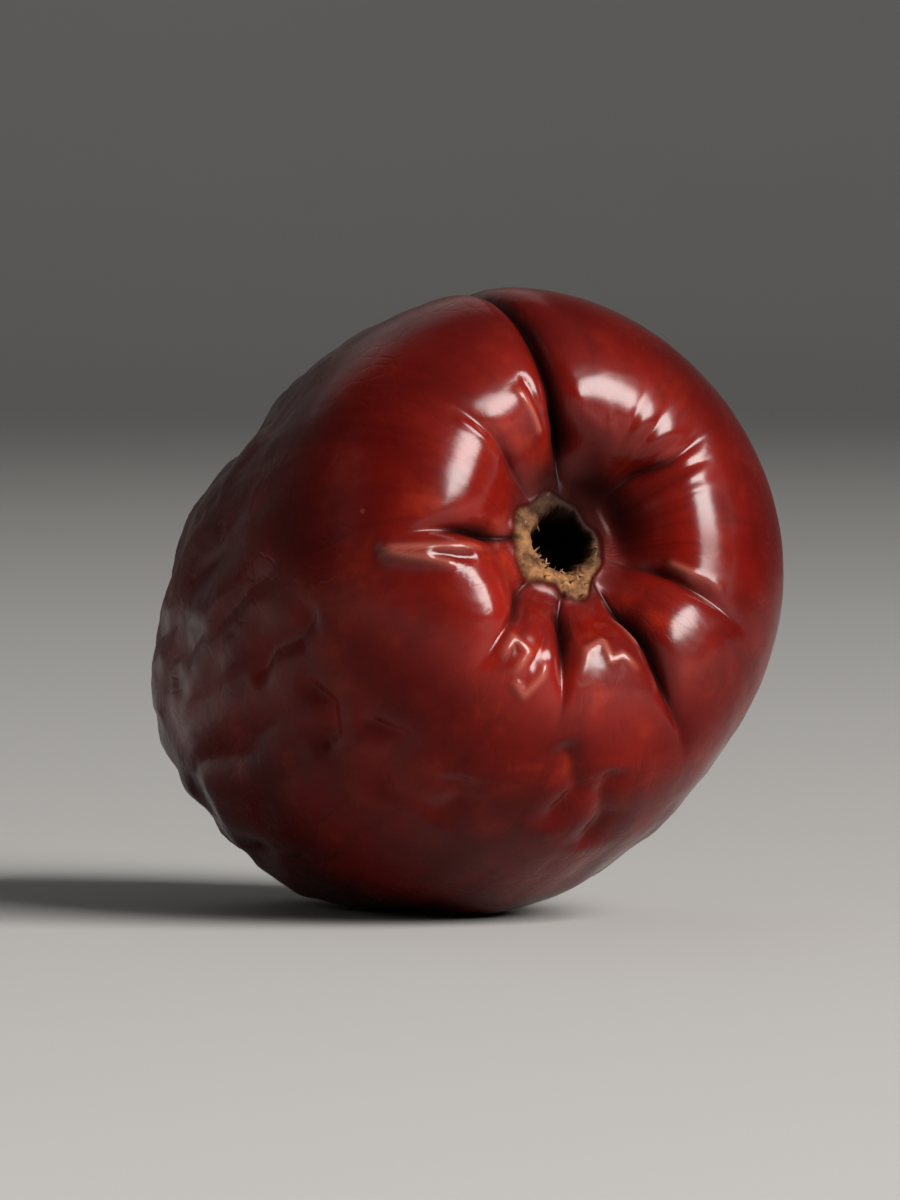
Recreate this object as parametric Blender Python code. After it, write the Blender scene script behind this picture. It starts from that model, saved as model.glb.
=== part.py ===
"""A dried jujube lying on its side, as one solid: a puckered stalk end with a corky ring round the stalk hole,
folds that run along the shrunken fruit, a small blossom scar, and a small flat spot that it rests on.

Units are metres and +Z is up. The skin is worked out about the fruit's own axis, with the stalk end at the top and
longitude counted from +X. The fruit is then laid down with its stalk end towards -Y and raised by the rest pitch.
"""

import math

import bmesh
import bpy
import numpy as np
from mathutils import Matrix

MM = 0.001
FRUIT_NAME = "fruit"

# The whole fruit: widest at its equator, blunt towards the stalk and longer towards the blossom scar.
DIAMETER = 21.7 * MM
STALK_HALF = 11.0 * MM
BLOSSOM_HALF = 19.4 * MM
STALK_BLUNTNESS = 3.0
BLOSSOM_BLUNTNESS = 2.1

# How it lies: a low belly under its weight carries the flat spot, and the stalk end is raised.
REST_PITCH = math.radians(18)
REST_FLAT_DEPTH = 0.4 * MM
BELLY_HEIGHT = 0.8 * MM
BELLY_WIDTH = 7.5 * MM
BELLY_LENGTH = 6.5 * MM
BELLY_AT = -1.0 * MM
BELLY_LONGITUDE = math.radians(-94)
BELLY_SMOOTHNESS = 0.85

# The funnel of the stalk end, the corky ring at its bottom and the stalk hole inside the ring.
FUNNEL_DEPTH = 3.4 * MM
FUNNEL_RADIUS = 3.6 * MM
FUNNEL_STEEPNESS = 2.6
RING_RADIUS = 1.52 * MM
RING_WIDTH = 0.36 * MM
RING_HEIGHT = 0.34 * MM
RING_LOWERED = 0.6
RING_LEAN, RING_TOWARDS = 0.30, math.radians(205)
HOLE_RADIUS = 1.16 * MM
HOLE_DEPTH = 2.1 * MM
HOLE_LEAN, HOLE_TOWARDS = 0.15, math.radians(155)

# A deeper pocket beside the ring, under the steepest side of the funnel.
POCKET_LONGITUDE = math.radians(22)
POCKET_SPREAD = 0.85
POCKET_RADIUS = 2.25 * MM
POCKET_WIDTH = 0.65 * MM
POCKET_DEPTH = 0.75 * MM

# A low shoulder: on this side the skin falls away more steeply outside the lip of the funnel.
SHOULDER_LONGITUDE = math.radians(5)
SHOULDER_SPREAD = 1.4
SHOULDER_DROP = 0.5 * MM

# The dimple and the small scar of the blossom end.
DIMPLE_DEPTH = 1.0 * MM
DIMPLE_RADIUS = 2.6 * MM
SCAR_HEIGHT = 0.4 * MM
SCAR_RADIUS = 0.6 * MM

# Each crease: its longitude in degrees near the pole and further out, its depth, its half width, and how far from
# the pole it runs along the skin.
STALK_CREASES = (
    (42, 33, 0.50 * MM, 0.42 * MM, 8.5 * MM),
    (92, 97, 0.95 * MM, 0.28 * MM, 24.0 * MM),
    (133, 134, 0.32 * MM, 0.24 * MM, 8.8 * MM),
    (179, 180, 0.80 * MM, 0.30 * MM, 9.4 * MM),
    (219, 225, 0.48 * MM, 0.34 * MM, 9.2 * MM),
    (252, 252, 0.62 * MM, 0.30 * MM, 9.6 * MM),
    (295, 294, 0.90 * MM, 0.30 * MM, 12.0 * MM),
    (336, 330, 0.46 * MM, 0.27 * MM, 9.4 * MM),
)
BLOSSOM_CREASES = (
    (15, 19, 0.40 * MM, 0.40 * MM, 7.5 * MM),
    (70, 66, 0.60 * MM, 0.45 * MM, 10.0 * MM),
    (118, 121, 0.35 * MM, 0.35 * MM, 6.5 * MM),
    (172, 170, 0.55 * MM, 0.45 * MM, 9.0 * MM),
    (233, 238, 0.50 * MM, 0.40 * MM, 10.5 * MM),
    (300, 296, 0.55 * MM, 0.40 * MM, 8.0 * MM),
)
STALK_CREASE_START = 1.8 * MM
BLOSSOM_CREASE_START = 0.7 * MM
CREASE_FADE_IN = 1.6 * MM
CREASE_ROUNDING = 0.12 * MM
CREASE_WANDER = 0.05
CREASE_BEND_FROM = 3.0 * MM
CREASE_BEND_TO = 5.5 * MM
PILLOW_DEPTH = 0.36 * MM
PILLOW_WIDTH = 1.15 * MM
PILLOW_END = 13 * MM
PILLOW_FULL_AT = 0.6 * MM

# Folds of the shrunken skin: main folds, smaller wrinkles over them, and the lumps of an uneven fruit.
# They are shallow on the calm side, on the skin near the stalk end, and deeper everywhere else.
FOLD_SPACING = 5.6 * MM
FOLD_DEPTH = 0.55 * MM
WRINKLE_SPACING = 3.1 * MM
WRINKLE_DEPTH = 0.26 * MM
VALLEY_ROUNDING = 0.004
TRAIN_STRENGTH = 1.6
LUMP_SIZE = 13 * MM
LUMP_HEIGHT = 0.26 * MM
CALM_LONGITUDE = math.radians(215)
CALM_SHARE = 0.7

# The mesh: meridians round the fruit and rings along it, closer together round the funnel.
MERIDIANS = 90
RINGS = 66
RING_CLOSENESS_AT = (0 * MM, 2.4 * MM, 3.2 * MM, 9 * MM, 13 * MM)
RING_CLOSENESS = (4.0, 4.0, 1.8, 1.6, 1.0)

SKIN_COLOR = (0.13, 0.008, 0.006, 1)
SKIN_ROUGHNESS = 0.3


def smooth_step(value, low, high):
    share = np.clip((value - low) / (high - low), 0, 1)
    return share * share * (3 - 2 * share)


def angle_from(longitude, centre):
    """The signed angle from one meridian to each longitude, the short way round."""
    return np.angle(np.exp(1j * (longitude - centre)))


def turned_outline():
    """Radius, height and distance from the stalk pole of the plain turned fruit, from pole to pole."""
    turn = math.pi / 2 * (1 - np.cos(np.linspace(0, math.pi, 6001)))
    stalk_side = turn < math.pi / 2
    power = np.where(stalk_side, 2 / STALK_BLUNTNESS, 2 / BLOSSOM_BLUNTNESS)
    half = np.where(stalk_side, STALK_HALF, -BLOSSOM_HALF)
    radius = DIAMETER / 2 * np.abs(np.sin(turn)) ** power
    height = half * np.abs(np.cos(turn)) ** power
    funnel = FUNNEL_DEPTH * np.exp(-((radius / FUNNEL_RADIUS) ** FUNNEL_STEEPNESS))
    dimple = DIMPLE_DEPTH * np.exp(-((radius / DIMPLE_RADIUS) ** 2))
    scar = SCAR_HEIGHT * np.exp(-((radius / SCAR_RADIUS) ** 2))
    height = height + np.where(stalk_side, -funnel, dimple - scar)
    reach = np.concatenate([[0], np.cumsum(np.hypot(np.diff(radius), np.diff(height)))])
    return radius, height, reach


OUTLINE_RADIUS, OUTLINE_HEIGHT, OUTLINE_REACH = turned_outline()
OUTLINE_LENGTH = OUTLINE_REACH[-1]


def slow_field(points, size, seed):
    """A smooth random field, mostly within -1 to 1, whose patches are about this size."""
    waves = 24
    draw = np.random.default_rng(seed)
    vector = draw.normal(0, 1, (waves, 3))
    vector *= (math.pi / size * draw.uniform(0.6, 1.2, waves) / np.linalg.norm(vector, axis=1))[:, None]
    phase = draw.uniform(0, 2 * math.pi, waves)
    return np.cos(points @ vector.T + phase).sum(axis=1) / math.sqrt(waves)


def wave_trains(spacing, seed):
    """Short wave trains spread evenly over the fruit: the middle, the wave vector and the phase of each one.
    Their waves cross the fruit, give or take, so their crests run along it."""
    draw = np.random.default_rng(seed)
    count = int(3.2 * OUTLINE_LENGTH * DIAMETER / spacing**2)
    index = np.arange(count)
    reach = OUTLINE_LENGTH * np.arccos(1 - 2 * (index + 0.5) / count) / math.pi
    around = math.pi * (1 + math.sqrt(5)) * index
    radius = np.interp(reach, OUTLINE_REACH, OUTLINE_RADIUS)
    height = np.interp(reach, OUTLINE_REACH, OUTLINE_HEIGHT)
    middle = np.stack([radius * np.cos(around), radius * np.sin(around), height], axis=1)
    across = np.stack([-np.sin(around), np.cos(around), np.zeros(count)], axis=1)
    along = np.cross(middle / np.linalg.norm(middle, axis=1, keepdims=True), across)
    turn = draw.normal(0, 0.4, count)
    heading = across * np.cos(turn)[:, None] + along * np.sin(turn)[:, None]
    wave = heading * (2 * math.pi / (spacing * draw.uniform(0.85, 1.2, count)))[:, None]
    return middle, wave, draw.uniform(0, 2 * math.pi, count)


def wave_field(points, spacing, seed):
    """Waves that branch and die out like real wrinkles: the cosine of their phase, and how strong they are."""
    train_length = 0.8 * spacing
    total = np.zeros(len(points), complex)
    for middle, wave, phase in zip(*wave_trains(spacing, seed)):
        gap = points - middle
        square = (gap * gap).sum(axis=1)
        near = np.flatnonzero(square < (3.2 * train_length) ** 2)
        total[near] += np.exp(-square[near] / (2 * train_length**2) + 1j * (gap[near] @ wave + phase))
    strength = np.abs(total)
    return total.real / np.maximum(strength, 1e-9), np.minimum(strength / TRAIN_STRENGTH, 1.3)


def creases(longitude, radius, reach, table, start):
    """Sharp valleys that run out from a pole, with the skin rounded into pillows between them."""
    relief = np.zeros_like(longitude)
    bend = smooth_step(reach, CREASE_BEND_FROM, CREASE_BEND_TO)
    for inner, outer, depth, half_width, end in table:
        off = angle_from(longitude, np.radians(inner + (outer - inner) * bend))
        side = np.sqrt((off * radius) ** 2 + CREASE_ROUNDING**2)
        fade = smooth_step(radius, start, start + CREASE_FADE_IN) * (1 - smooth_step(reach, 0.5 * end, end))
        pillow = PILLOW_DEPTH * min(depth / PILLOW_FULL_AT, 1) * (1 - smooth_step(reach, 6 * MM, PILLOW_END))
        relief -= fade * (depth * np.exp(-side / half_width) + pillow * np.exp(-side / PILLOW_WIDTH))
    return relief


def belly_share(longitude, radius, height):
    """1 in the middle of the low belly that the fruit lies on, falling to 0 away from it."""
    side = angle_from(longitude, BELLY_LONGITUDE) * radius / BELLY_WIDTH
    return np.exp(-(side**2) - ((height - BELLY_AT) / BELLY_LENGTH) ** 2)


def folds(plain, longitude, height, reach):
    """Rounded folds with sharp valleys, and smaller sharp wrinkles in patches over them."""
    calm = np.exp(-((angle_from(longitude, CALM_LONGITUDE) / 1.15) ** 2)) * smooth_step(height, -15 * MM, -4 * MM)
    to_blossom = OUTLINE_LENGTH - reach
    body = smooth_step(reach, 12 * MM, 21 * MM) * smooth_step(to_blossom, 1.5 * MM, 6 * MM)
    slack = body * (1 - CALM_SHARE * calm)
    cosine, strength = wave_field(plain, FOLD_SPACING, 3)
    relief = FOLD_DEPTH * slack * strength * (np.sqrt(0.5 * (1 + cosine) + VALLEY_ROUNDING) - 0.65)
    cosine, strength = wave_field(plain, WRINKLE_SPACING, 7)
    patches = np.clip(0.6 + 0.5 * slow_field(plain, 6 * MM, 21), 0, 1.2)
    sharp_ridges = 0.64 - np.sqrt(0.5 * (1 - cosine) + VALLEY_ROUNDING)
    return relief + WRINKLE_DEPTH * slack * patches * strength * sharp_ridges


def low_shoulder(longitude, reach):
    """How far the skin is lowered on the side of the low shoulder."""
    around = np.exp(-((angle_from(longitude, SHOULDER_LONGITUDE) / SHOULDER_SPREAD) ** 2))
    outside = smooth_step(reach, 4.3 * MM, 7.0 * MM) * (1 - smooth_step(reach, 13 * MM, 24 * MM))
    return SHOULDER_DROP * around * outside


def unevenness(longitude, lean, towards):
    """How much wider than round the ring or the hole is: it leans to one side and is a little cornered."""
    return 1 + lean * np.cos(longitude - towards) + 0.04 * np.cos(4 * longitude) + 0.03 * np.sin(7 * longitude)


def ring_and_hole(longitude, radius):
    """Height added round the stalk scar: the raised corky ring and the hole in it."""
    in_ring = radius / unevenness(longitude, RING_LEAN, RING_TOWARDS)
    in_hole = radius / unevenness(longitude, HOLE_LEAN, HOLE_TOWARDS)
    kept = 1 - RING_LOWERED * np.exp(-((angle_from(longitude, POCKET_LONGITUDE) / POCKET_SPREAD) ** 2))
    ring = RING_HEIGHT * kept * np.exp(-(((in_ring - RING_RADIUS) / RING_WIDTH) ** 2))
    hole = HOLE_DEPTH * (1 - smooth_step(in_hole, 0.45 * HOLE_RADIUS, 1.2 * HOLE_RADIUS))
    return ring - hole


def pocket(longitude, radius):
    """Depth of the pocket beside the ring."""
    across = (radius - POCKET_RADIUS) / POCKET_WIDTH
    return POCKET_DEPTH * np.exp(-(across**2) - (angle_from(longitude, POCKET_LONGITUDE) / POCKET_SPREAD) ** 2)


def skin(longitude, share):
    """Points of the skin about the fruit's own axis, for longitudes and shares of the way from the stalk pole."""
    closeness = np.interp(OUTLINE_REACH, RING_CLOSENESS_AT, RING_CLOSENESS)
    passed = np.concatenate([[0], np.cumsum(np.diff(OUTLINE_REACH) * (closeness[1:] + closeness[:-1]) / 2)])
    reach = np.interp(share * passed[-1], passed, OUTLINE_REACH)
    radius = np.interp(reach, OUTLINE_REACH, OUTLINE_RADIUS)
    height = np.interp(reach, OUTLINE_REACH, OUTLINE_HEIGHT)
    slope_r = np.interp(reach, OUTLINE_REACH, np.gradient(OUTLINE_RADIUS, OUTLINE_REACH))
    slope_h = np.interp(reach, OUTLINE_REACH, np.gradient(OUTLINE_HEIGHT, OUTLINE_REACH))
    cosine, sine = np.cos(longitude), np.sin(longitude)
    plain = np.stack([radius * cosine, radius * sine, height], axis=1)
    outward = np.stack([-slope_h * cosine, -slope_h * sine, slope_r], axis=1)

    relief = LUMP_HEIGHT * slow_field(plain, LUMP_SIZE, 12) * smooth_step(radius, STALK_CREASE_START, 6 * MM)
    wandering = longitude + CREASE_WANDER * slow_field(plain, 5 * MM, 5) * smooth_step(radius, 3 * MM, 9 * MM)
    near_stalk = creases(wandering, radius, reach, STALK_CREASES, STALK_CREASE_START)
    near_blossom = creases(wandering, radius, OUTLINE_LENGTH - reach, BLOSSOM_CREASES, BLOSSOM_CREASE_START)
    relief += np.where(reach < OUTLINE_LENGTH / 2, near_stalk, near_blossom)
    belly = belly_share(longitude, radius, height)
    relief += BELLY_HEIGHT * belly + (1 - BELLY_SMOOTHNESS * belly) * folds(plain, longitude, height, reach)
    relief -= low_shoulder(longitude, reach)

    points = plain + outward * relief[:, None]
    points[:, 2] += np.where(height > 0, ring_and_hole(longitude, radius) - pocket(longitude, radius), 0)
    return points


def lay_down(fruit_mesh):
    """Turns the fruit onto its side and lowers it until the flat spot's depth is below the floor."""
    turn = Matrix.Rotation(math.pi / 2 - REST_PITCH, 3, "X")
    bmesh.ops.rotate(fruit_mesh, verts=fruit_mesh.verts, cent=(0, 0, 0), matrix=turn)
    low = min(vert.co.z for vert in fruit_mesh.verts)
    bmesh.ops.translate(fruit_mesh, verts=fruit_mesh.verts, vec=(0, 0, -low - REST_FLAT_DEPTH))


def cut_flat_spot(fruit_mesh):
    """Cuts the fruit off at the floor and closes the cut with one flat face."""
    everything = fruit_mesh.verts[:] + fruit_mesh.edges[:] + fruit_mesh.faces[:]
    bmesh.ops.bisect_plane(
        fruit_mesh, geom=everything, dist=1e-6, plane_co=(0, 0, 0), plane_no=(0, 0, 1), clear_inner=True
    )
    rim = [edge for edge in fruit_mesh.edges if edge.is_boundary]
    bmesh.ops.edgeloop_fill(fruit_mesh, edges=rim)
    bmesh.ops.recalc_face_normals(fruit_mesh, faces=fruit_mesh.faces)


def centre_over_origin(fruit_mesh):
    """Moves the middle of the fruit's box over the origin."""
    for axis in range(2):
        places = [vert.co[axis] for vert in fruit_mesh.verts]
        move = [0, 0, 0]
        move[axis] = -(min(places) + max(places)) / 2
        bmesh.ops.translate(fruit_mesh, verts=fruit_mesh.verts, vec=move)


def skin_material():
    material = bpy.data.materials.new("skin")
    material.use_nodes = True
    shader = material.node_tree.nodes["Principled BSDF"]
    shader.inputs["Base Color"].default_value = SKIN_COLOR
    shader.inputs["Roughness"].default_value = SKIN_ROUGHNESS
    shader.inputs["Metallic"].default_value = 0
    return material


def make_fruit():
    fruit_mesh = bmesh.new()
    bmesh.ops.create_uvsphere(fruit_mesh, u_segments=MERIDIANS, v_segments=RINGS, radius=1)
    sphere = np.array([vert.co for vert in fruit_mesh.verts])
    longitude = np.arctan2(sphere[:, 1], sphere[:, 0])
    share = np.arccos(np.clip(sphere[:, 2], -1, 1)) / math.pi
    for vert, point in zip(fruit_mesh.verts, skin(longitude, share)):
        vert.co = point
    lay_down(fruit_mesh)
    cut_flat_spot(fruit_mesh)
    centre_over_origin(fruit_mesh)
    mesh = bpy.data.meshes.new(FRUIT_NAME)
    fruit_mesh.to_mesh(mesh)
    fruit_mesh.free()
    mesh.materials.append(skin_material())
    mesh.shade_smooth()
    return bpy.data.objects.new(FRUIT_NAME, mesh)


def main():
    for old in list(bpy.data.objects):
        bpy.data.objects.remove(old)
    collection = bpy.data.collections.new("dried_jujube")
    bpy.context.scene.collection.children.link(collection)
    collection.objects.link(make_fruit())


main()
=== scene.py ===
# %% [markdown]
# # A dried jujube, made to be looked at closely
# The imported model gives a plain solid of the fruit. This lesson keeps its place and its main form, and
# builds the same fruit again with a skin fine enough to be seen from a hand's width away: sharp creases
# round the stalk hole, folds and crinkles, a corky ring, and a glossy dark red skin whose colour changes
# from place to place.

# %% Load the frame and keep its box
import math

import bmesh
import bpy
import numpy as np
from mathutils import Matrix, Vector


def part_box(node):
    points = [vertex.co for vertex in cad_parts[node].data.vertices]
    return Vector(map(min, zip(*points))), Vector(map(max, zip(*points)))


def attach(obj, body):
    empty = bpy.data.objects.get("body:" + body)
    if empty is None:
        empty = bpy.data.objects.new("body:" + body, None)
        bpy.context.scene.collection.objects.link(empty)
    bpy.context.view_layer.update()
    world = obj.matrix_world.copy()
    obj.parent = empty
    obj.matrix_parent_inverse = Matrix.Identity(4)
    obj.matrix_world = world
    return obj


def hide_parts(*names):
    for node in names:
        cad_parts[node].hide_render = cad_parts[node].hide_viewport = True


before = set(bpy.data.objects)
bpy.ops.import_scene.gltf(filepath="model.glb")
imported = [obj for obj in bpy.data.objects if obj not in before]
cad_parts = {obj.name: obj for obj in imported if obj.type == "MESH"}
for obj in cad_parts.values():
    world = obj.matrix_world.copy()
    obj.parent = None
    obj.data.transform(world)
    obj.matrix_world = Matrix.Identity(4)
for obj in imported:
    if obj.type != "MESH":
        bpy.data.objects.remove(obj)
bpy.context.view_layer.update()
FRUIT_LOW, FRUIT_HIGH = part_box("fruit")
MM = 0.001
sides = [round(1000 * side, 1) for side in FRUIT_HIGH - FRUIT_LOW]
print("nodes", sorted(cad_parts), "box in mm", sides)

# %% [markdown]
# ## The driving sizes
# A jujube is a drupe that dries from the size of a plum to the size of a big grape. These are the sizes
# that the solid was made with, so that the fine skin and the solid stay the same fruit. Only the scallops
# are too small for the solid.

# %% Sizes of the fruit, its funnel, its ring and its blossom scar
DIAMETER = 21.7 * MM
STALK_HALF = 11.0 * MM
BLOSSOM_HALF = 19.4 * MM
STALK_BLUNTNESS = 3.0
BLOSSOM_BLUNTNESS = 2.1
REST_PITCH = math.radians(18)
REST_FLAT_DEPTH = 0.4 * MM
BELLY_HEIGHT = 0.8 * MM
BELLY_WIDTH = 7.5 * MM
BELLY_LENGTH = 6.5 * MM
BELLY_AT = -1.0 * MM
BELLY_LONGITUDE = math.radians(-94)
BELLY_SMOOTHNESS = 0.85
FUNNEL_DEPTH = 3.4 * MM
FUNNEL_RADIUS = 3.6 * MM
FUNNEL_STEEPNESS = 2.6
RING_RADIUS = 1.52 * MM
RING_WIDTH = 0.36 * MM
RING_HEIGHT = 0.34 * MM
RING_LOWERED = 0.6
RING_LEAN, RING_TOWARDS = 0.30, math.radians(205)
HOLE_RADIUS = 1.16 * MM
HOLE_DEPTH = 2.1 * MM
HOLE_LEAN, HOLE_TOWARDS = 0.15, math.radians(155)
DIMPLE_DEPTH = 1.0 * MM
DIMPLE_RADIUS = 2.6 * MM
SCAR_HEIGHT = 0.4 * MM
SCAR_RADIUS = 0.6 * MM
LUMP_SIZE, LUMP_HEIGHT = 13 * MM, 0.26 * MM
FOLD_SPACING, FOLD_HEIGHT = 5.6 * MM, 0.55 * MM
WRINKLE_SPACING, WRINKLE_HEIGHT = 3.1 * MM, 0.26 * MM
SCALLOP_SPACING, SCALLOP_HEIGHT = 2.4 * MM, 0.14 * MM
LUMP_SEED, FOLD_SEED, WRINKLE_SEED, SCALLOP_SEED = 12, 3, 7, 31
WANDER_SEED, PATCH_SEED, GATHERS_SEED, TORN_SEED, TIP_SEED = 5, 21, 51, 41, 43
print("fruit", DIAMETER / MM, "mm thick and", (STALK_HALF + BLOSSOM_HALF) / MM, "mm from end to end")

# %% [markdown]
# ## The turned outline
# Before it shrank the fruit was nearly a turned body, so its outline is a formula: a blunt superellipse
# towards the stalk, a longer one towards the blossom, less a smooth funnel and a dimple. The outline is
# kept as a long list of radii and heights, and every later step looks up where it is by its distance from
# the stalk pole, its reach.


# %% Outline of the turned fruit
def smooth_step(value, low, high):
    share = np.clip((value - low) / (high - low), 0, 1)
    return share * share * (3 - 2 * share)


def within(value, low, high):
    return 1 - smooth_step(value, low, high)


def angle_from(longitude, centre):
    return np.angle(np.exp(1j * (longitude - centre)))


def turned_outline():
    turn = math.pi / 2 * (1 - np.cos(np.linspace(0, math.pi, 6001)))
    stalk_side = turn < math.pi / 2
    power = np.where(stalk_side, 2 / STALK_BLUNTNESS, 2 / BLOSSOM_BLUNTNESS)
    half = np.where(stalk_side, STALK_HALF, -BLOSSOM_HALF)
    radius = DIAMETER / 2 * np.abs(np.sin(turn)) ** power
    height = half * np.abs(np.cos(turn)) ** power
    funnel = FUNNEL_DEPTH * np.exp(-((radius / FUNNEL_RADIUS) ** FUNNEL_STEEPNESS))
    dimple = DIMPLE_DEPTH * np.exp(-((radius / DIMPLE_RADIUS) ** 2))
    scar = SCAR_HEIGHT * np.exp(-((radius / SCAR_RADIUS) ** 2))
    height = height + np.where(stalk_side, -funnel, dimple - scar)
    reach = np.concatenate([[0], np.cumsum(np.hypot(np.diff(radius), np.diff(height)))])
    return radius, height, reach


OUTLINE_RADIUS, OUTLINE_HEIGHT, OUTLINE_REACH = turned_outline()
OUTLINE_LENGTH = OUTLINE_REACH[-1]
print("outline is", round(OUTLINE_LENGTH / MM, 1), "mm from pole to pole")

# %% [markdown]
# ## Folds that branch
# Shrunken skin folds at an even spacing, but its folds branch, wander and die out. A sum of short wave
# trains set evenly over the fruit does that: where two trains disagree, a fold ends or forks. The phase of
# the sum gives the fold's profile, which can be rounded on top with a sharp valley, or the other way round.


# %% Slow random field and branching waves
TRAIN_STRENGTH = 1.6
TRAINS_PER_SQUARE_SPACING = 3.2
SPACINGS_PER_TRAIN = 0.8
TRAIN_LENGTHS_SEEN = 3.2
FOLD_WANDER, SCALLOP_WANDER = 0.4, 0.25
VALLEY_ROUNDING = 0.004


def slow_field(points, size, seed):
    waves = 24
    draw = np.random.default_rng(seed)
    vector = draw.normal(0, 1, (waves, 3))
    vector *= (math.pi / size * draw.uniform(0.6, 1.2, waves) / np.linalg.norm(vector, axis=1))[:, None]
    phase = draw.uniform(0, 2 * math.pi, waves)
    return np.cos(points @ vector.T + phase).sum(axis=1) / math.sqrt(waves)


def wave_trains(spacing, seed, wander):
    draw = np.random.default_rng(seed)
    count = int(TRAINS_PER_SQUARE_SPACING * OUTLINE_LENGTH * DIAMETER / spacing**2)
    index = np.arange(count)
    reach = OUTLINE_LENGTH * np.arccos(1 - 2 * (index + 0.5) / count) / math.pi
    around = math.pi * (1 + math.sqrt(5)) * index
    radius = np.interp(reach, OUTLINE_REACH, OUTLINE_RADIUS)
    height = np.interp(reach, OUTLINE_REACH, OUTLINE_HEIGHT)
    middle = np.stack([radius * np.cos(around), radius * np.sin(around), height], axis=1)
    across = np.stack([-np.sin(around), np.cos(around), np.zeros(count)], axis=1)
    along = np.cross(middle / np.linalg.norm(middle, axis=1, keepdims=True), across)
    turn = draw.normal(0, wander, count)
    heading = across * np.cos(turn)[:, None] + along * np.sin(turn)[:, None]
    wave = heading * (2 * math.pi / (spacing * draw.uniform(0.85, 1.2, count)))[:, None]
    return middle, wave, draw.uniform(0, 2 * math.pi, count)


def wave_field(points, spacing, seed, wander=FOLD_WANDER):
    train_length = SPACINGS_PER_TRAIN * spacing
    limit = TRAIN_LENGTHS_SEEN * train_length
    order = np.argsort(points[:, 2], kind="stable")
    by_height = points[order]
    total = np.zeros(len(points), complex)
    for middle, wave, phase in zip(*wave_trains(spacing, seed, wander)):
        first, last = np.searchsorted(by_height[:, 2], (middle[2] - limit, middle[2] + limit))
        gap = by_height[first:last] - middle
        square = (gap * gap).sum(axis=1)
        near = np.flatnonzero(square < limit**2)
        turn = 1j * (gap[near] @ wave + phase)
        total[order[first + near]] += np.exp(-square[near] / (2 * train_length**2) + turn)
    strength = np.abs(total)
    return total.real / np.maximum(strength, 1e-9), np.minimum(strength / TRAIN_STRENGTH, 1.3)


def round_folds(cosine, strength):
    return strength * (np.sqrt(0.5 * (1 + cosine) + VALLEY_ROUNDING) - 0.65)


def sharp_folds(cosine, strength):
    return strength * (0.64 - np.sqrt(0.5 * (1 - cosine) + VALLEY_ROUNDING))


print("main folds use", len(wave_trains(FOLD_SPACING, FOLD_SEED, FOLD_WANDER)[2]), "wave trains")

# %% [markdown]
# ## Creases of the two ends
# The stalk sat in a funnel, and the skin round it is gathered like cloth round a button: sharp creases run
# out of the funnel over its lip, and the skin between two creases is a round pillow. Each crease is a
# valley that depends only on how far a point is to the side of it.

# %% Crease tables: longitude in degrees near the pole and further out, depth, half width, and where it ends
STALK_CREASES = (
    (42, 33, 0.50 * MM, 0.42 * MM, 8.5 * MM),
    (92, 97, 0.95 * MM, 0.28 * MM, 24.0 * MM),
    (133, 134, 0.32 * MM, 0.24 * MM, 8.8 * MM),
    (179, 180, 0.80 * MM, 0.30 * MM, 9.4 * MM),
    (219, 225, 0.48 * MM, 0.34 * MM, 9.2 * MM),
    (252, 252, 0.62 * MM, 0.30 * MM, 9.6 * MM),
    (295, 294, 0.90 * MM, 0.30 * MM, 12.0 * MM),
    (336, 330, 0.46 * MM, 0.27 * MM, 9.4 * MM),
)
BLOSSOM_CREASES = (
    (15, 19, 0.40 * MM, 0.40 * MM, 7.5 * MM),
    (70, 66, 0.60 * MM, 0.45 * MM, 10.0 * MM),
    (118, 121, 0.35 * MM, 0.35 * MM, 6.5 * MM),
    (172, 170, 0.55 * MM, 0.45 * MM, 9.0 * MM),
    (233, 238, 0.50 * MM, 0.40 * MM, 10.5 * MM),
    (300, 296, 0.55 * MM, 0.40 * MM, 8.0 * MM),
)
STALK_CREASE_START = 1.8 * MM
BLOSSOM_CREASE_START = 0.7 * MM
CREASE_FADE_IN = 1.6 * MM
CREASE_ROUNDING = 0.05 * MM
CREASE_FADE_OUT = 0.5
CREVICE_WIDTH, CREVICE_START = 0.12 * MM, 0.3 * MM
CREVICE_FROM, CREVICE_FULL = 0.25 * MM, 0.75 * MM
CREASE_WANDER = 0.05
CREASE_BEND_FROM = 3.0 * MM
CREASE_BEND_TO = 5.5 * MM
PILLOW_DEPTH = 0.36 * MM
PILLOW_WIDTH = 1.15 * MM
PILLOW_FADE, PILLOW_END = 6 * MM, 13 * MM
PILLOW_FULL_AT = 0.6 * MM


def creases(longitude, radius, reach, table, start):
    relief, crevice = np.zeros_like(longitude), np.zeros_like(longitude)
    bend = smooth_step(reach, CREASE_BEND_FROM, CREASE_BEND_TO)
    for inner, outer, depth, half_width, end in table:
        off = angle_from(longitude, np.radians(inner + (outer - inner) * bend))
        side = np.sqrt((off * radius) ** 2 + CREASE_ROUNDING**2)
        kept = within(reach, CREASE_FADE_OUT * end, end)
        fade = smooth_step(radius, start, start + CREASE_FADE_IN) * kept
        pillow = PILLOW_DEPTH * min(depth / PILLOW_FULL_AT, 1) * within(reach, PILLOW_FADE, PILLOW_END)
        relief -= fade * (depth * np.exp(-side / half_width) + pillow * np.exp(-side / PILLOW_WIDTH))
        # The slit at the bottom of a deep crease is painted as shade: near black and unlit.
        begun = smooth_step(radius, start - CREVICE_START, start + CREVICE_START)
        slit = begun * np.exp(-((side / CREVICE_WIDTH) ** 2))
        crevice = np.maximum(crevice, slit * smooth_step(depth * kept, CREVICE_FROM, CREVICE_FULL))
    return relief, crevice
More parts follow.
